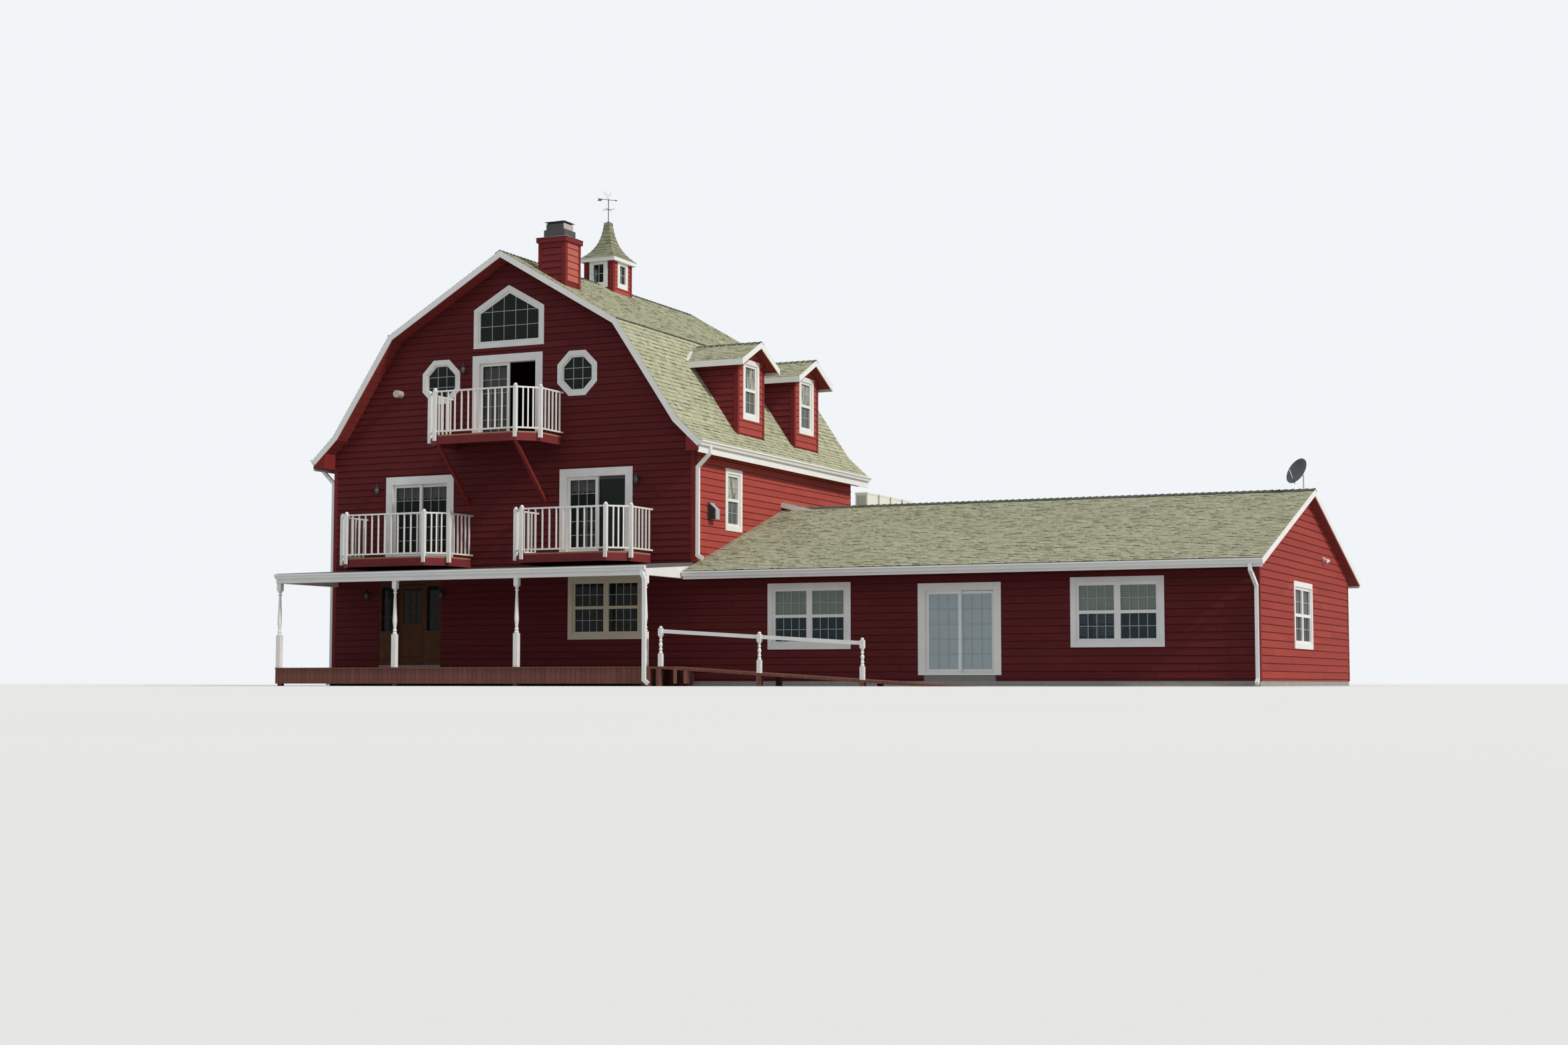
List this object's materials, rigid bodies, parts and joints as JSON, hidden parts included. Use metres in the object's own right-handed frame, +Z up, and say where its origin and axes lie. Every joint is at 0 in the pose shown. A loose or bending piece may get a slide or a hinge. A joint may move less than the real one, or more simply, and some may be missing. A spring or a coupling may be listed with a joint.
{
  "type": "gambrel-roofed barn house with wing",
  "caption": "Red lap-sided gambrel barn house with a low wing, front porch, chamfered balconies, dormers, chimney and a bell-cast cupola with weathervane.",
  "frame": {"origin": "centre of the main block's footprint, on the level ground that the building stands on", "axes": "+X along the front from left to right as seen from outside, +Y from the front wall to the back, +Z up"},
  "size_m": [25.665, 14.13, 14.056],
  "materials": {
    "concrete": "rough cast concrete",
    "floor_wood": "oiled boards",
    "red_siding": "weathered red stain",
    "shingles": "mineral-coated asphalt shingles",
    "white_trim": "satin white paint",
    "white_metal": "satin white enamel",
    "dark_metal": "matt black",
    "vane_metal": "satin white enamel",
    "deck_wood": "stained deck boards",
    "porch_roofing": "mineral-coated roll roofing",
    "brown_wood": "varnished",
    "glass": "clear",
    "cream_metal": "powder-coated sheet"
  },
  "bodies": {
    "root": {"foundation": "concrete", "ground_floors": "floor_wood", "upper_floors": "floor_wood", "front_walls_beside": "red_siding", "front_wall_upper": "red_siding", "gable_walls_beside": "red_siding", "gable_wall_top": "red_siding", "back_wall": "red_siding", "side_walls": "red_siding", "corner_boards": "red_siding", "roof_left": "shingles", "roof_right": "shingles", "rake_boards": "white_trim", "fascia_boards": "white_trim", "eave_boxes": "red_siding", "gutters": "white_metal", "downspouts": "white_metal", "dormer_walls": "red_siding", "dormer_roofs": "shingles", "chimney": "red_siding", "chimney_cap": "dark_metal", "cupola": "red_siding", "cupola_roof": "shingles", "weathervane_mast": "dark_metal", "wing_walls_beside": "red_siding", "wing_wall_over": "red_siding", "wing_back_wall": "red_siding", "wing_end_wall": "red_siding", "wing_roof": "shingles", "low_roof": "shingles", "low_roof_walls": "red_siding", "condenser_units": "cream_metal", "satellite_dish": "dark_metal", "porch_deck": "deck_wood", "deck_frame": "deck_wood", "porch_posts": "white_trim", "porch_beam": "white_trim", "porch_roof": "porch_roofing", "ramp": "deck_wood", "ramp_rail": "white_trim", "balcony_decks": "red_siding", "balcony_rails": "white_trim", "balcony_braces": "red_siding", "entry_frame": "brown_wood", "patio_frame": "white_trim", "upper_doors": "white_trim", "window_frames": "white_trim", "window_glass": "glass", "wall_lamps": "dark_metal", "wall_vents": "dark_metal"},
    "entry_leaf": {"entry_door": "brown_wood", "entry_door_glass": "glass"},
    "patio_leaf": {"patio_door": "white_trim", "patio_door_glass": "glass"},
    "vane": {"weathervane_arrow": "vane_metal"}
  },
  "joints": [
    {"name": "entry_hinge", "type": "hinge", "parent": "root", "child": "entry_leaf", "pos_m": [-3.4435, -4.83, 0.55], "axis": [0, 0, 1], "range_deg": [0, 95]},
    {"name": "patio_slide", "type": "slide", "parent": "root", "child": "patio_leaf", "axis": [-1, 0, 0], "range_m": [0, 0.78]},
    {"name": "vane_spin", "type": "hinge", "parent": "root", "child": "vane", "pos_m": [0, 0.25, 13.8], "axis": [0, 0, 1], "continuous": true}
  ]
}
